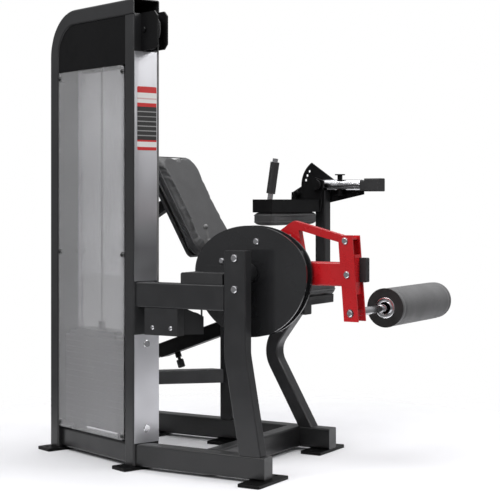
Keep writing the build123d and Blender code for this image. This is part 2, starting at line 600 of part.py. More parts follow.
def lean(x, y, z):
    """Point of the backrest: x out of its front face, z up along it from the top edge."""
    c, s = cos(radians(BACK_LEAN)), sin(radians(BACK_LEAN))
    return BACK_TOP[0] + x * c - z * s, y, BACK_TOP[1] + x * s + z * c


def backrest():
    place = Pos(BACK_TOP[0], SEAT_Y, BACK_TOP[1]) * Rot(0, -BACK_LEAN, 0)
    pad = bar((-BACK_T, 0), (-BACK_HALF, BACK_HALF), (-BACK_L, 0))
    pad = fillet(pad.edges().filter_by(Axis.X), 30)
    pad = fillet(pad.faces().sort_by(Axis.X)[-1].edges(), 14)
    add("backrest_cushion", place * pad)
    board = bar((-BACK_T - BOARD_T, -BACK_T), (-BACK_HALF + 16, BACK_HALF - 16), (-BACK_L + 16, -16))
    board = fillet(board.edges().filter_by(Axis.X), 20)
    add("backrest_board", place * board)
    # The support slides in the carriage, rises behind the tower's edge and meets the board squarely.
    c, s = cos(radians(CARRIAGE_RISE)), sin(radians(CARRIAGE_RISE))
    inside = (CARRIAGE_AT[0] + 100 * c, SEAT_Y, CARRIAGE_AT[1] + 100 * s)
    corner = (CARRIAGE_AT[0] + SLIDE_OUT * c, SEAT_Y, CARRIAGE_AT[1] + SLIDE_OUT * s)
    meet = lean(-BACK_T - BOARD_T, SEAT_Y, -150)
    reach = (meet[0] - corner[0]) / cos(radians(BACK_LEAN))
    knee_top = (corner[0], SEAT_Y, meet[2] - reach * sin(radians(BACK_LEAN)))
    support = tube([inside, corner, knee_top, meet], 45, 40, 40, (0, 1, 0))
    add("backrest_support", support)


def carriage():
    place = Pos(CARRIAGE_AT[0], SEAT_Y, CARRIAGE_AT[1]) * Rot(0, -CARRIAGE_RISE, 0)
    outer = bar(CARRIAGE_LEN, (-25, 25), (-25, 25)) - bar((-400, 400), (-20.6, 20.6), (-20.6, 20.6))
    outer -= place.inverse() * bar((COLUMN_X - 25, 0), FAR_Y, (0, 900))
    neck = ring((PULL_PIN_X, 0, -44), (PULL_PIN_X, 0, -25), 11, 6 + FIT)
    outer -= rod((PULL_PIN_X, 0, -60), (PULL_PIN_X, 0, 0), 6 + FIT)
    add("carriage_tube", place * (outer + neck))
    pin = rod((PULL_PIN_X, 0, -60), (PULL_PIN_X, 0, -21.5), 6)
    knob = rod((PULL_PIN_X, 0, -82), (PULL_PIN_X, 0, -52), 13)
    knob = fillet(knob.edges().filter_by(GeomType.CIRCLE), 4)
    add("backrest_pin", place * (pin + knob))


PULL_PIN_X = -62


# ---- thigh hold-down ----
HOLD_PIVOT = (-118, 906)
THIGH_X = (-187, -104)
THIGH_Y = (420, 755)
THIGH_Z = (766, 810)
THIGH_TOP_Z = 854
SECTOR_R = 100
SECTOR_Y = (THIGH_POST_Y[1], THIGH_POST_Y[1] + 7)
ARM_PLATE_Y = (768, 776)
PIN_ANGLE = 203.5
PIN_R_AT = 84
HANDLE_AT = (-124, 436)


def thigh_post():
    x = HOLD_PIVOT[0]
    middle = sum(THIGH_POST_Y) / 2
    route = [(x, middle, SEAT_CROSS_Z[1]), (x, middle, HOLD_PIVOT[1] - 19.4)]
    post = tube(route, 0, THIGH_POST_Y[1] - THIGH_POST_Y[0], 40, (0, 1, 0))
    add("thigh_post", post)
    y = sum(THIGH_POST_Y) / 2
    add("chrome_bar", rod((x - 20, y, HOLD_PIVOT[1]), (36, y, HOLD_PIVOT[1] - 1), 19))
    block = bar((36.8, 58), (y - 19, y + 19), (HOLD_PIVOT[1] - 22, HOLD_PIVOT[1] + 16))
    block += bar((56, 114), (y - 24, y + 24), (HOLD_PIVOT[1] - 24, HOLD_PIVOT[1] + 22))
    add("bar_end_block", fillet(block.edges().filter_by(Axis.X), 5))
    # Sector: a plate about the pivot with an arc of holes, and a tail that runs under the chrome bar.
    face = make_face([CenterArc((0, 0), SECTOR_R, 126, 104), Polyline(
        (SECTOR_R * cos(radians(230)), SECTOR_R * sin(radians(230))), (20, -62), (150, -34), (150, -14),
        (30, 20), (SECTOR_R * cos(radians(126)), SECTOR_R * sin(radians(126))))])
    sector = Pos(x, SECTOR_Y[1], HOLD_PIVOT[1]) * Rot(90, 0, 0) * extrude(face, SECTOR_Y[1] - SECTOR_Y[0])
    for step in range(-2, 6):
        angle = radians(PIN_ANGLE - 12 * step)
        sector -= rod_y(x + PIN_R_AT * cos(angle), HOLD_PIVOT[1] + PIN_R_AT * sin(angle), 700, 900, 5.2)
    add("sector_plate", sector)
    pin = rod_y(x, HOLD_PIVOT[1], ARM_PLATE_Y[0] - 11, THIGH_POST_Y[0], 12)
    cap = rod_y(x, HOLD_PIVOT[1], ARM_PLATE_Y[0] - 19, ARM_PLATE_Y[0] - 9, 19)
    clamps = []
    for sign in (-1, 1):
        z = HOLD_PIVOT[1] + sign * 18
        clamps.append(rod((-50, y, z), (-50, y, z + sign * 16), 9))
        clamps.append(rod((-50, y, z + sign * 16), (-50, y, z + sign * 20), 18))
    screws = [clamps[0] + clamps[1] - nodes["chrome_bar"], clamps[2] + clamps[3] - nodes["chrome_bar"]]
    add("hold_pivot", Compound([(pin + cap).solid()] + screws))


def thigh_pad():
    pad = bar(THIGH_X, THIGH_Y, THIGH_Z)
    pad = chamfer(pad.edges().filter_by(Axis.Y).group_by(Axis.Z)[0], 10)
    add("thigh_cushion", pad)
    x0, x1 = THIGH_X[0] + 4, THIGH_X[1] - 4
    channel = bar((x0, x1), (THIGH_Y[0] + 4, ARM_PLATE_Y[1]), (THIGH_Z[1], THIGH_TOP_Z))
    channel -= bar((x0 + 5, x1 - 5), (THIGH_Y[0] + 60, ARM_PLATE_Y[0]), (THIGH_Z[1] + 5, THIGH_TOP_Z + 9))
    arm = plate_xz([(x0, THIGH_Z[1]), (x1, THIGH_Z[1]), (HOLD_PIVOT[0] + 26, HOLD_PIVOT[1] + 14),
                    (HOLD_PIVOT[0] - 10, HOLD_PIVOT[1] + 26),
                    (HOLD_PIVOT[0] - PIN_R_AT - 16, HOLD_PIVOT[1] - 26),
                    (HOLD_PIVOT[0] - PIN_R_AT - 10, HOLD_PIVOT[1] - 50)], *ARM_PLATE_Y)
    bracket = channel + arm
    bracket -= rod_y(HOLD_PIVOT[0], HOLD_PIVOT[1], 700, 900, 12 + FIT)
    spot = turned((HOLD_PIVOT[0] + PIN_R_AT, HOLD_PIVOT[1]), HOLD_PIVOT, PIN_ANGLE)
    bracket += rod_y(spot[0], spot[1], ARM_PLATE_Y[0] - 24, ARM_PLATE_Y[0] + 2, 10)
    bracket -= rod_y(spot[0], spot[1], 700, 900, 5 + FIT)
    add("thigh_bracket", bracket)
    pin = rod_y(spot[0], spot[1], ARM_PLATE_Y[0] - 34, SECTOR_Y[0] - 0.5, 5)
    lever = plate_xz([(spot[0] - 8, spot[1] + 8), (spot[0] + 6, spot[1] + 8), (spot[0] + 3, spot[1] - 68),
                      (spot[0] - 12, spot[1] - 66)], ARM_PLATE_Y[0] - 34, ARM_PLATE_Y[0] - 25)
    add("thigh_pin", pin + lever)
    foot = Vector(HANDLE_AT[0], HANDLE_AT[1], THIGH_TOP_Z - 6)
    way = Vector(sin(radians(9)), 0, cos(radians(9)))
    add("hold_handle", rod(tuple(foot), tuple(foot + way * 144), 9))
    nodes["thigh_bracket"] = nodes["thigh_bracket"] - nodes["hold_handle"]
    add("handle_grip", ring(tuple(foot + way * 26), tuple(foot + way * 132), 15, 9))


def frame_bolts():
    bolts = [dome_bolt(0, 0, z, 11, 6, 2.5) for z in (KNEE_Z + 48, KNEE_Z - 47)]
    bolts += [dome_bolt(x, 0.5, ARM_Z[0] - 62, 7, 4, 2) for x in (-300, -232)]
    bolts += [tower * plug for plug in COVER_PLUGS]
    fasten("frame_bolts", bolts, ("near_post", "transfer_bracket"))


def build():
    base()
    supports()
    tower_frame()
    tower_covers()
    weight_stack()
    transfer, length = pulleys()
    cables(transfer, length)
    cam()
    bearing()
    swing_arm()
    roller()
    seat()
    backrest()
    carriage()
    thigh_post()
    thigh_pad()
    frame_bolts()


build()
box = Compound([shape for shape in nodes.values()]).bounding_box()
SHIFT = Vector(-(box.min.X + box.max.X) / 2, -(box.min.Y + box.max.Y) / 2, 0)
os.makedirs("parts", exist_ok=True)
for name, shape in nodes.items():
    export_step(Pos(*SHIFT) * shape, f"parts/{name}.step")
print("nodes", len(nodes), "size", [round(v, 1) for v in box.size], "low", round(box.min.Z, 2), "shift", SHIFT)
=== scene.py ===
"""Leg machine: materials, soft parts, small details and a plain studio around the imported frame."""

import json
import math

import bmesh
import bpy
from mathutils import Matrix, Vector


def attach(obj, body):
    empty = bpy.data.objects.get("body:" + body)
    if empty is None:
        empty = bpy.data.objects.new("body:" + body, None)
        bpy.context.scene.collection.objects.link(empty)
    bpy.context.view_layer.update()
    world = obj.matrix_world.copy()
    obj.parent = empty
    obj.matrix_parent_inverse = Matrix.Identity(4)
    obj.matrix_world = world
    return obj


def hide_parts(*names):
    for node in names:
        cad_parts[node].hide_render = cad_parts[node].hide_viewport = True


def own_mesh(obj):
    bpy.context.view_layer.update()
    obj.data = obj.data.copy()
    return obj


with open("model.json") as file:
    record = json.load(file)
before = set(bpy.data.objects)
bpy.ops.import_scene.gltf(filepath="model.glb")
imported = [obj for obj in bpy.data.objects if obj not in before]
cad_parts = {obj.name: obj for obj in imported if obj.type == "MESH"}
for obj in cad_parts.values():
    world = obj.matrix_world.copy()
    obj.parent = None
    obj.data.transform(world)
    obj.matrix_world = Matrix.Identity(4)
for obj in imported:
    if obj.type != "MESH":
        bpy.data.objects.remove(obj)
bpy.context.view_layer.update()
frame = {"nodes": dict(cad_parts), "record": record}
NODES = frame["nodes"]
SLOT_OF = {row["node"]: row["material_slot"] for row in frame["record"]["subparts"]}

# camera: level, at a standing person's chest height, off the machine's near front corner
CAMERA_AT = (2.3682, -3.9273, 0.852)
CAMERA_ALONG = (-0.506, 0.863, 0.0)
LENS_MM = 98.28
SHIFT_Y = -0.10

TOWER_TURN = math.radians(-20)      # the stack tower is turned this far about Z
BACK_LEAN = math.radians(30)        # the backrest leans back this far from upright
VOXEL = 0.006                       # remesh size of the cushions
CLOTH_FRAMES = 20
PRESSURE = 4.0
PAD_SLACK = 0.004                   # how far a pad may stand outside its CAD solid
WELT_AT = (0.22, 0.80)              # the piping's places up a pad's thickness
WELT_RADIUS = 0.0024

PLACARD_Z = (1.010, 1.212)
PLACARD_HALF_WIDTH = 0.037
PLACARD_THICK = 0.0008

FLOOR_HALF = 5.0
FLOOR_FADE = (0.75, 1.7)            # distance from the middle where the floor starts and ends fading


# ---------- node helpers ----------

def add_node(mat, kind, sockets=None, **settings):
    """Adds a shader node, sets its properties, and fills or links its inputs."""
    made = mat.node_tree.nodes.new(kind)
    for key, value in settings.items():
        setattr(made, key, value)
    for key, value in (sockets or {}).items():
        if isinstance(value, bpy.types.NodeSocket):
            mat.node_tree.links.new(value, made.inputs[key])
        else:
            made.inputs[key].default_value = value
    return made


def place(mat, stretch=(1, 1, 1), turn=0.0):
    coords = add_node(mat, "ShaderNodeTexCoord").outputs["Object"]
    sockets = {"Vector": coords, "Scale": stretch, "Rotation": (0, 0, turn)}
    return add_node(mat, "ShaderNodeMapping", sockets).outputs["Vector"]


def noise(mat, scale, detail=3.0, stretch=(1, 1, 1), turn=0.0):
    sockets = {"Vector": place(mat, stretch, turn), "Scale": scale, "Detail": detail}
    return add_node(mat, "ShaderNodeTexNoise", sockets).outputs[0]


def cells(mat, scale):
    sockets = {"Vector": place(mat), "Scale": scale}
    return add_node(mat, "ShaderNodeTexVoronoi", sockets).outputs["Distance"]


def ramp(mat, factor, stops, constant=False):
    made = add_node(mat, "ShaderNodeValToRGB", {"Fac": factor})
    band = made.color_ramp
    band.interpolation = "CONSTANT" if constant else "LINEAR"
    band.elements[0].position, band.elements[0].color = stops[0][0], (*stops[0][1], 1)
    band.elements[1].position, band.elements[1].color = stops[-1][0], (*stops[-1][1], 1)
    for position, colour in stops[1:-1]:
        band.elements.new(position).color = (*colour, 1)
    return made.outputs["Color"]


def grey(level):
    return (level, level, level * 1.02)


def around(colour, spread):
    """The colour's darker and lighter variation, as a ramp's two stops."""
    return [(0.3, tuple(c * (1 - spread) for c in colour)), (0.7, tuple(c * (1 + spread) for c in colour))]


def bump(mat, height, strength, distance=0.001, under=None):
    sockets = {"Height": height, "Strength": strength, "Distance": distance}
    if under:
        sockets["Normal"] = under
    return add_node(mat, "ShaderNodeBump", sockets).outputs["Normal"]


def surface(name, **values):
    mat = bpy.data.materials.new(name)
    mat.use_nodes = True
    shader = mat.node_tree.nodes["Principled BSDF"]
    for key, value in values.items():
        shader.inputs[key.replace("_", " ")].default_value = value
    return mat, shader


def join(mat, output, shader, socket):
    mat.node_tree.links.new(output, shader.inputs[socket])


# ---------- materials ----------

def height(mat, low, high):
    """0 to 1 between two heights above the floor."""
    coords = add_node(mat, "ShaderNodeTexCoord").outputs["Object"]
    upward = add_node(mat, "ShaderNodeSeparateXYZ", {"Vector": coords}).outputs["Z"]
    sockets = {"Value": upward, "From Min": low, "From Max": high}
    return add_node(mat, "ShaderNodeMapRange", sockets).outputs[0]


def times(mat, first, second):
    """Two colours multiplied."""
    return add_node(mat, "ShaderNodeVectorMath", {0: first, 1: second}, operation="MULTIPLY").outputs[0]


def powder_coat(name, colour, rough, spread=0.12, coat=0.25, specular=0.5):
    """Powder coat: fine orange peel, patchy gloss, and painted shade that darkens it close to the floor.
    """
    mat, shader = surface(name, Coat_Weight=coat, Coat_Roughness=0.25, Specular_IOR_Level=specular)
    tone = ramp(mat, noise(mat, 9.0), around(colour, spread))
    # painted shade: the tone darkens towards the floor, standing in for the low parts getting less light
    painted_floor_shade = ramp(mat, height(mat, 0.0, 0.25), [(0.25, grey(0.35)), (0.7, grey(1.0))])
    join(mat, times(mat, tone, painted_floor_shade), shader, "Base Color")
    gloss = [(0.35, grey(rough - 0.06)), (0.7, grey(rough + 0.08))]
    join(mat, ramp(mat, noise(mat, 22.0), gloss), shader, "Roughness")
    peel = bump(mat, noise(mat, 900.0, 2.0), 0.12, 0.0004)
    join(mat, bump(mat, noise(mat, 60.0), 0.04, 0.001, peel), shader, "Normal")
    return mat


def polished(name, colour, rough):
    """Chrome or zinc: faint handling haze and hairlines."""
    mat, shader = surface(name, Metallic=1.0)
    join(mat, ramp(mat, noise(mat, 14.0), around(colour, 0.06)), shader, "Base Color")
    haze = [(0.3, grey(rough)), (0.75, grey(rough + 0.12))]
    join(mat, ramp(mat, noise(mat, 35.0, 6.0), haze), shader, "Roughness")
    join(mat, bump(mat, noise(mat, 500.0), 0.03, 0.0003), shader, "Normal")
    return mat


def brushed(name):
    """Brushed sheet: fine streaks run up the cover, with painted reflection in light and dark bands by
    height, and slow random changes in tone.
    """
    mat, shader = surface(name, Metallic=0.9)
    # painted reflection: light and dark bands by height stand in for the surroundings mirrored in the
    # cover
    painted_reflection_bands = ramp(mat, height(mat, 0.0, 1.4), [(0.36, grey(0.88)), (0.45, grey(0.40)), (0.50, grey(0.28)),
                                              (0.62, grey(0.62)), (0.80, grey(0.85)), (0.95, grey(0.90))])
    slow = ramp(mat, noise(mat, 6.0, 1.0), [(0.3, grey(0.85)), (0.7, grey(1.1))])
    join(mat, times(mat, painted_reflection_bands, slow), shader, "Base Color")
    streaks = noise(mat, 900.0, 4.0, (1.0, 1.0, 0.01), -TOWER_TURN)
    join(mat, ramp(mat, streaks, [(0.2, grey(0.28)), (0.8, grey(0.44))]), shader, "Roughness")
    join(mat, bump(mat, streaks, 0.12, 0.0003), shader, "Normal")
    return mat


def smoked(name):
    """Smoked frosted sheet: what lies behind it shows blurred."""
    mat, shader = surface(name, IOR=1.12, Transmission_Weight=0.86)
    join(mat, ramp(mat, noise(mat, 5.0), around((0.91, 0.91, 0.92), 0.04)), shader, "Base Color")
    join(mat, ramp(mat, noise(mat, 12.0), [(0.3, grey(0.17)), (0.7, grey(0.23))]), shader, "Roughness")
    join(mat, bump(mat, noise(mat, 40.0), 0.05), shader, "Normal")
    return mat


def cast(name):
    """Cast plates: a coarse sand texture, rubbed lighter in patches."""
    mat, shader = surface(name, Metallic=0.3)
    rubbed = [(0.35, grey(0.022)), (0.6, grey(0.045)), (0.8, grey(0.11))]
    join(mat, ramp(mat, noise(mat, 30.0, 6.0), rubbed), shader, "Base Color")
    join(mat, ramp(mat, noise(mat, 50.0), [(0.3, grey(0.45)), (0.7, grey(0.7))]), shader, "Roughness")
    join(mat, bump(mat, noise(mat, 260.0, 5.0), 0.35, 0.001), shader, "Normal")
    return mat


def moulded(name, colour, rough, grain=500.0):
    """Rubber or moulded plastic: fine matt grain, slight bloom."""
    mat, shader = surface(name)
    join(mat, ramp(mat, noise(mat, 18.0, 4.0), around(colour, 0.2)), shader, "Base Color")
    join(mat, ramp(mat, noise(mat, 40.0), [(0.3, grey(rough - 0.08)), (0.7, grey(rough + 0.1))]), shader,
         "Roughness")
    join(mat, bump(mat, cells(mat, grain), 0.2, 0.0004), shader, "Normal")
    return mat


def twisted(name):
    """Coated cable: the strands' slanted lay shows faintly through the coat."""
    mat, shader = surface(name, Coat_Weight=0.4)
    join(mat, ramp(mat, noise(mat, 25.0), around((0.10, 0.10, 0.10), 0.3)), shader, "Base Color")
    join(mat, ramp(mat, noise(mat, 60.0), [(0.3, grey(0.35)), (0.7, grey(0.5))]), shader, "Roughness")
    sockets = {"Vector": place(mat), "Scale": 160.0, "Distortion": 0.0}
    lay = add_node(mat, "ShaderNodeTexWave", sockets, bands_direction="DIAGONAL").outputs["Fac"]
    join(mat, bump(mat, lay, 0.5, 0.0005), shader, "Normal")
    return mat


def vinyl(name, colour, rough, fine=620.0):
    """Upholstery vinyl: pebble grain over faint stretch creases, rubbed gloss."""
    mat, shader = surface(name, Sheen_Weight=0.15)
    join(mat, ramp(mat, noise(mat, 12.0, 5.0), around(colour, 0.16)), shader, "Base Color")
    join(mat, ramp(mat, noise(mat, 20.0), [(0.3, grey(rough - 0.07)), (0.7, grey(rough + 0.09))]), shader,
         "Roughness")
    creases = bump(mat, noise(mat, 45.0, 4.0, (1.0, 0.35, 1.0)), 0.16, 0.0015)
    join(mat, bump(mat, cells(mat, fine), 0.45, 0.0006, creases), shader, "Normal")
    return mat


def faced_board(name):
    mat, shader = surface(name)
    grain = noise(mat, 60.0, 4.0, (0.15, 1.0, 1.0))
    join(mat, ramp(mat, grain, [(0.3, grey(0.015)), (0.7, grey(0.035))]), shader, "Base Color")
    join(mat, ramp(mat, grain, [(0.3, grey(0.5)), (0.7, grey(0.65))]), shader, "Roughness")
    join(mat, bump(mat, grain, 0.2, 0.0006), shader, "Normal")
    return mat


def placard_print(name, low, high):
    """Generic printed bands up the placard, blank: red, white, black with pale rules."""
    red, white, black, rule = (0.55, 0.02, 0.02), (0.75, 0.74, 0.72), (0.02, 0.02, 0.02), (0.3, 0.3, 0.3)
    stops = [(0.0, red), (0.05, white), (0.13, red), (0.16, black)]
    for step in range(6):
        stops += [(0.22 + 0.075 * step, rule), (0.235 + 0.075 * step, black)]
    stops += [(0.68, red), (0.74, white), (0.80, (0.6, 0.4, 0.4)), (0.82, white), (0.90, red)]
    mat, shader = surface(name, Coat_Weight=0.15, Coat_Roughness=0.3)
    join(mat, ramp(mat, height(mat, low, high), stops, constant=True), shader, "Base Color")
    join(mat, ramp(mat, noise(mat, 40.0), [(0.3, grey(0.3)), (0.7, grey(0.45))]), shader, "Roughness")
    return mat


MATERIALS = {
    "charcoal_paint": powder_coat("charcoal_paint", (0.021, 0.0213, 0.022), 0.34),
    "gloss_charcoal": powder_coat("gloss_charcoal", (0.020, 0.0203, 0.021), 0.13, 0.1, 0.5),
    "black_paint": powder_coat("black_paint", (0.005, 0.005, 0.0053), 0.40, 0.12, 0.0, 0.15),
    "silver_paint": powder_coat("silver_paint", (0.050, 0.0505, 0.052), 0.34),
    "red_paint": powder_coat("red_paint", (0.50, 0.008, 0.012), 0.28, 0.08, 0.4),
    "chrome": polished("chrome", (0.78, 0.78, 0.80), 0.10),
    "brushed_plate": brushed("brushed_plate"),
    "smoked_shield": smoked("smoked_shield"),
    "black_fasteners": polished("black_fasteners", (0.05, 0.05, 0.05), 0.35),
    "plate_black": cast("plate_black"),
    "black_rubber": moulded("black_rubber", (0.018, 0.018, 0.019), 0.6),
    "cable_grey": twisted("cable_grey"),
    "pulley_nylon": moulded("pulley_nylon", (0.28, 0.28, 0.28), 0.45),
    "roller_core_black": moulded("roller_core_black", (0.02, 0.02, 0.02), 0.4),
    "dark_vinyl": vinyl("dark_vinyl", (0.038, 0.0385, 0.040), 0.44),
    "grey_vinyl": vinyl("grey_vinyl", (0.094, 0.094, 0.096), 0.45, 500.0),
    "board": faced_board("board"),
}


def dress_frame():
    """Gives every CAD node the material of its slot."""
    for name, slot in SLOT_OF.items():
        mesh = NODES[name].data
        for index in range(max(1, len(mesh.materials))):
            if len(mesh.materials) == 0:
                mesh.materials.append(MATERIALS[slot])
            mesh.materials[index] = MATERIALS[slot]


# ---------- soft parts ----------

def own_object(name, mesh, slot, body):
    made = bpy.data.objects.new(name, mesh)
    bpy.context.scene.collection.objects.link(made)
    mesh.materials.clear()
    mesh.materials.append(MATERIALS[slot])
    for face in mesh.polygons:
        face.use_smooth = True
    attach(made, body)
    return made


def local_points(node, turned):
    """The CAD node's vertices in a frame turned to lie along the piece."""
    back = turned.transposed()
    return [back @ (NODES[node].matrix_world @ v.co) for v in NODES[node].data.vertices]


def span(points):
    low = Vector([min(p[i] for p in points) for i in range(3)])
    high = Vector([max(p[i] for p in points) for i in range(3)])
    return low, high


def rounded_outline(low, high, radius, count=10):
    """Points round a rectangle with round corners, in X and Y."""
    points = []
    for index, (cx, cy) in enumerate([(high.x, high.y), (low.x, high.y), (low.x, low.y), (high.x, low.y)]):
        centre_x = cx - math.copysign(radius, cx - (low.x + high.x) / 2)
        centre_y = cy - math.copysign(radius, cy - (low.y + high.y) / 2)
        for step in range(count + 1):
            angle = math.radians(90 * (index + step / count))
            points.append((centre_x + radius * math.cos(angle), centre_y + radius * math.sin(angle)))
    return points


def cushion_block(name, low, high, radius, edge, slot, body, turned):
    """A closed block with round corners and a rolled edge at top and bottom."""
    mesh = bpy.data.meshes.new(name)
    work = bmesh.new()
    rings = []
    steps = 5
    heights = [(low.z + edge * (1 - math.cos(math.pi / 2 * s / steps)),
                edge * (1 - math.sin(math.pi / 2 * s / steps))) for s in range(steps + 1)]
    heights += [(low.z + high.z - z, inset) for z, inset in reversed(heights)]
    for z, inset in heights:
        inner_low = Vector((low.x + inset, low.y + inset, 0))
        inner_high = Vector((high.x - inset, high.y - inset, 0))
        outline = rounded_outline(inner_low, inner_high, radius - inset * 0.6)
        rings.append([work.verts.new(turned @ Vector((x, y, z))) for x, y in outline])
    for below, above in zip(rings, rings[1:]):
        for i in range(len(below)):
            j = (i + 1) % len(below)
            work.faces.new((below[i], below[j], above[j], above[i]))
    work.faces.new(list(reversed(rings[0])))
    work.faces.new(rings[-1])
    bmesh.ops.triangulate(work, faces=[f for f in work.faces if len(f.verts) > 4])
    work.to_mesh(mesh)
    work.free()
    return own_object(name, mesh, slot, body)


def remesh(piece):
    mod = piece.modifiers.new("voxels", "REMESH")
    mod.mode = "VOXEL"
    mod.voxel_size = VOXEL
    settle(piece, mod)


def settle(piece, mod):
    """Applies one modifier through the evaluated mesh."""
    graph = bpy.context.evaluated_depsgraph_get()
    graph.update()
    solid = bpy.data.meshes.new_from_object(piece.evaluated_get(graph))
    piece.modifiers.remove(mod)
    old = piece.data
    piece.data = solid
    bpy.data.meshes.remove(old)
    for face in solid.polygons:
        face.use_smooth = True


def inflate(piece, cap):
    """Swells the closed shape under cloth pressure, and caps how far a point moves."""
    start = [v.co.copy() for v in piece.data.vertices]
    mod = piece.modifiers.new("cloth", "CLOTH")
    mod.settings.use_pressure = True
    mod.settings.uniform_pressure_force = PRESSURE
    mod.settings.effector_weights.gravity = 0
    mod.point_cache.frame_start = 1
    mod.point_cache.frame_end = CLOTH_FRAMES
    for number in range(1, CLOTH_FRAMES + 1):
        bpy.context.scene.frame_set(number)
    graph = bpy.context.evaluated_depsgraph_get()
    swollen = [v.co.copy() for v in piece.evaluated_get(graph).data.vertices]
    piece.modifiers.remove(mod)
    bpy.context.scene.frame_set(1)
    for vertex, was, now in zip(piece.data.vertices, start, swollen):
        move = now - was
        if move.length > cap:
            move.length = cap
        vertex.co = was + move


def keep_between(piece, turned, low, high, slack):
    """Holds the piece flat on its board and inside its own space."""
    back = turned.transposed()
    for vertex in piece.data.vertices:
        p = back @ vertex.co
        p.z = max(p.z, low.z)
        p.x = min(max(p.x, low.x - slack), high.x + slack)
        p.y = min(max(p.y, low.y - slack), high.y + slack)
        p.z = min(p.z, high.z + slack)
        vertex.co = turned @ p


def welt(name, piece, low, high, radius, height, slot, body, turned):
    """Piping sewn round the cushion, laid on its finished surface."""
    points = []
    for x, y in rounded_outline(low, high, radius, 8):
        found, spot, _, _ = piece.closest_point_on_mesh(turned @ Vector((x, y, height)))
        if found:
            points.append(spot)
    curve = bpy.data.curves.new(name, "CURVE")
    curve.dimensions = "3D"
    curve.bevel_depth = WELT_RADIUS
    curve.bevel_resolution = 2
    spline = curve.splines.new("POLY")
    spline.points.add(len(points) - 1)
    for row, spot in zip(spline.points, points):
        row.co = (*spot, 1)
    spline.use_cyclic_u = True
    holder = bpy.data.objects.new(name + "_line", curve)
    bpy.context.scene.collection.objects.link(holder)
    graph = bpy.context.evaluated_depsgraph_get()
    mesh = bpy.data.meshes.new_from_object(holder.evaluated_get(graph))
    bpy.data.objects.remove(holder)
    return own_object(name, mesh, slot, body)


def cushion(name, node, body, turned, up, corner, edge, start_in, cap, fill):
    """A sewn pad in the space of its CAD solid; up is +1 or -1, the side it bulges to."""
    low, high = span(local_points(node, turned))
    inset = Vector((start_in, start_in, start_in))
    inner_low, inner_high = low + inset, high - inset
    if up > 0:
        inner_low.z = low.z
    else:
        inner_high.z = high.z
    piece = cushion_block(name, inner_low, inner_high, corner, edge, "dark_vinyl", body, turned)
    remesh(piece)
    inflate(piece, cap)
    keep_between(piece, turned, low, high, PAD_SLACK)
    if up < 0:
        back = turned.transposed()
        for vertex in piece.data.vertices:
            p = back @ vertex.co
            p.z = min(p.z, high.z)
            vertex.co = turned @ p
    piece.modifiers.new("smooth", "SUBSURF").levels = 1
    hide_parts(node)
    thick = high.z - low.z
    for index, part_way in enumerate(WELT_AT):
        height = low.z + thick * part_way
        welt(f"{name}_welt_{index + 1}", piece, low, high, corner, height, "dark_vinyl", body, turned)
    return piece


def lathe(name, profile, centre, slot, body, sides=72):
    """Turns a profile of (y, radius) about the line along Y through the centre."""
    mesh = bpy.data.meshes.new(name)
    work = bmesh.new()
    rings = []
    for y, radius in profile:
        ring = []
        for step in range(sides):
            angle = 2 * math.pi * step / sides
            ring.append(work.verts.new((centre.x + radius * math.cos(angle), y,
                                        centre.z + radius * math.sin(angle))))
        rings.append(ring)
    for here, there in zip(rings, rings[1:] + rings[:1]):
        for i in range(sides):
            j = (i + 1) % sides
            work.faces.new((here[i], there[i], there[j], here[j]))
    bmesh.ops.recalc_face_normals(work, faces=work.faces)
    work.to_mesh(mesh)
    work.free()
    return own_object(name, mesh, slot, body)


def roller_foam():
    """Foam roller under stretched vinyl: rolled ends and a sewn groove near each."""
    low, high = span(local_points("roller_pad", Matrix.Identity(3)))
    centre = (low + high) / 2
    outer = (high.z - low.z) / 2
    bore, lip, seam = 0.026, 0.012, 0.024
    steps = 6
    near_half = [(low.y + 0.002, bore), (low.y, bore + 0.012)]
    for step in range(steps + 1):
        angle = math.pi / 2 * step / steps
        near_half.append((low.y + lip * (1 - math.cos(angle)),
                          outer - 0.001 - lip * (1 - math.sin(angle))))
    for offset, depth in ((-0.003, 0.0008), (0.0, 0.0024), (0.003, 0.0006), (0.02, 0.0)):
        near_half.append((low.y + seam + offset, outer - depth))
    far_half = [(low.y + high.y - y, radius) for y, radius in reversed(near_half)]
    piece = lathe("roller_foam", near_half + far_half, centre, "grey_vinyl", "roller")
    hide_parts("roller_pad")
    return piece


def roller_hub():
    """Polished ring let into the roller's near end, round the shaft."""
    low, high = span(local_points("roller_core", Matrix.Identity(3)))
    inner, outer, proud, deep = 0.019, 0.033, 0.0012, 0.004
    profile = [(low.y + deep, inner), (low.y - proud + 0.0006, inner), (low.y - proud, inner + 0.001),
               (low.y - proud, outer - 0.001), (low.y - proud + 0.0006, outer), (low.y + deep, outer)]
    return lathe("roller_hub_ring", profile, (low + high) / 2, "chrome", "roller")


def stack_cable_run():
    """The cable above the stack, on its own mesh and carried by the stack."""
    piece = own_object("stack_cable_run", NODES["stack_cable"].data.copy(), "cable_grey", "stack")
    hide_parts("stack_cable")
    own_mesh(piece)


# ---------- placard ----------

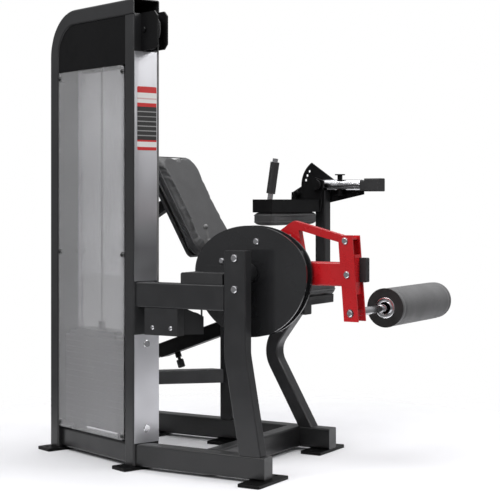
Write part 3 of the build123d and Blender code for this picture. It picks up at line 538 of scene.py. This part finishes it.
def placard():
    """A thin blank-banded plate stuck on the near upright's brushed cover."""
    turned = Matrix.Rotation(TOWER_TURN, 3, "Z")
    points = local_points("upright_covers", turned)
    high_x = max(p.x for p in points)
    face = [p for p in points if p.x > high_x - 0.004]
    middle = (min(p.y for p in face) + max(p.y for p in face)) / 2
    low_z, high_z = PLACARD_Z
    mesh = bpy.data.meshes.new("placard")
    work = bmesh.new()
    outline = rounded_outline(Vector((middle - PLACARD_HALF_WIDTH, low_z, 0)),
                              Vector((middle + PLACARD_HALF_WIDTH, high_z, 0)), 0.004, 4)
    back = [work.verts.new(turned @ Vector((high_x, y, z))) for y, z in outline]
    front = [work.verts.new(turned @ Vector((high_x + PLACARD_THICK, y, z))) for y, z in outline]
    for i in range(len(back)):
        j = (i + 1) % len(back)
        work.faces.new((back[i], back[j], front[j], front[i]))
    work.faces.new(front)
    work.faces.new(list(reversed(back)))
    bmesh.ops.recalc_face_normals(work, faces=work.faces)
    work.to_mesh(mesh)
    work.free()
    piece = own_object("placard", mesh, "brushed_plate", "frame")
    for face_row in mesh.polygons:
        face_row.use_smooth = False
    mesh.materials[0] = placard_print("placard_print", low_z, high_z)
    return piece


# ---------- studio ----------

def area_light(name, at, aim, size, power):
    data = bpy.data.lights.new(name, "AREA")
    data.shape = "RECTANGLE"
    data.size, data.size_y = size
    data.energy = power
    lamp = bpy.data.objects.new(name, data)
    bpy.context.scene.collection.objects.link(lamp)
    lamp.location = at
    lamp.rotation_mode = "QUATERNION"
    lamp.rotation_quaternion = (Vector(aim) - Vector(at)).to_track_quat("-Z", "Y")


def studio_world():
    """White to the camera; to reflections, white above and darker flags near the horizon."""
    world = bpy.data.worlds.new("studio")
    world.use_nodes = True
    tree = world.node_tree
    backdrop = tree.nodes["Background"]
    backdrop.inputs["Color"].default_value = (1, 1, 1, 1)
    backdrop.inputs["Strength"].default_value = 1.0
    coords = add_node(world, "ShaderNodeTexCoord").outputs["Generated"]
    parts = add_node(world, "ShaderNodeSeparateXYZ", {"Vector": coords})
    lift = add_node(world, "ShaderNodeMapRange",
                    {"Value": parts.outputs["Z"], "From Min": -0.2, "From Max": 0.9})
    shades = [(0.0, grey(0.25)), (0.25, grey(0.30)), (0.45, grey(0.45)), (0.8, grey(0.95))]
    soft = add_node(world, "ShaderNodeBackground",
                    {"Color": ramp(world, lift.outputs[0], shades), "Strength": 0.70})
    ray = add_node(world, "ShaderNodeLightPath").outputs["Is Camera Ray"]
    both = add_node(world, "ShaderNodeMixShader", {0: ray, 1: soft.outputs[0], 2: backdrop.outputs[0]})
    tree.links.new(both.outputs[0], tree.nodes["World Output"].inputs["Surface"])
    bpy.context.scene.world = world


def floor():
    """A pale floor that fades out into the white backdrop away from the machine."""
    mesh = bpy.data.meshes.new("floor")
    corners = [(x * FLOOR_HALF, y * FLOOR_HALF, 0) for x, y in ((-1, -1), (1, -1), (1, 1), (-1, 1))]
    mesh.from_pydata(corners, [], [(0, 1, 2, 3)])
    piece = bpy.data.objects.new("floor", mesh)
    bpy.context.scene.collection.objects.link(piece)
    mat, shader = surface("pale_floor", Roughness=0.7)
    join(mat, ramp(mat, noise(mat, 2.0), [(0.3, grey(0.80)), (0.7, grey(0.83))]), shader, "Base Color")
    coords = add_node(mat, "ShaderNodeTexCoord").outputs["Object"]
    far = add_node(mat, "ShaderNodeVectorMath", {0: coords}, operation="LENGTH").outputs["Value"]
    sockets = {"Value": far, "From Min": FLOOR_FADE[0], "From Max": FLOOR_FADE[1]}
    fade = add_node(mat, "ShaderNodeMapRange", sockets,
                    interpolation_type="SMOOTHSTEP")
    join(mat, ramp(mat, fade.outputs[0], [(0.0, (1, 1, 1)), (1.0, (0, 0, 0))]), shader, "Alpha")
    mesh.materials.append(mat)


def studio():
    studio_world()
    floor()
    area_light("key", (-0.5, -3.2, 3.6), (0, -0.2, 0.8), (2.6, 2.6), 130)
    area_light("right", (3.3, 0.9, 3.0), (0, 0.1, 0.8), (1.6, 1.6), 60)
    area_light("top", (0.2, 0.6, 3.4), (0, 0, 0.5), (2.5, 2.5), 60)
    camera = bpy.data.objects.new("camera", bpy.data.cameras.new("camera"))
    bpy.context.scene.collection.objects.link(camera)
    camera.location = CAMERA_AT
    camera.rotation_mode = "QUATERNION"
    camera.rotation_quaternion = Vector(CAMERA_ALONG).to_track_quat("-Z", "Y")
    camera.data.lens = LENS_MM
    camera.data.shift_y = SHIFT_Y
    bpy.context.scene.camera = camera
    bpy.context.scene.view_settings.view_transform = "Standard"


def lying():
    return Matrix.Identity(3)


def leaning():
    """Local Z comes out of the backrest's front, and local X runs down it."""
    forward = Vector((math.cos(BACK_LEAN), 0, math.sin(BACK_LEAN)))
    across = Vector((0, 1, 0))
    down = across.cross(forward)
    return Matrix((down, across, forward)).transposed()


dress_frame()
large_pad = {"up": 1, "corner": 0.045, "edge": 0.018, "start_in": 0.005, "cap": 0.014, "fill": 0.8}
small_pad = {"up": -1, "corner": 0.016, "edge": 0.012, "start_in": 0.003, "cap": 0.008, "fill": 0.85}
cushion("seat_pad", "seat_cushion", "frame", lying(), **large_pad)
cushion("back_pad", "backrest_cushion", "backrest", leaning(), **large_pad)
cushion("thigh_pad", "thigh_cushion", "hold_down", lying(), **small_pad)
roller_foam()
roller_hub()
stack_cable_run()
placard()
studio()
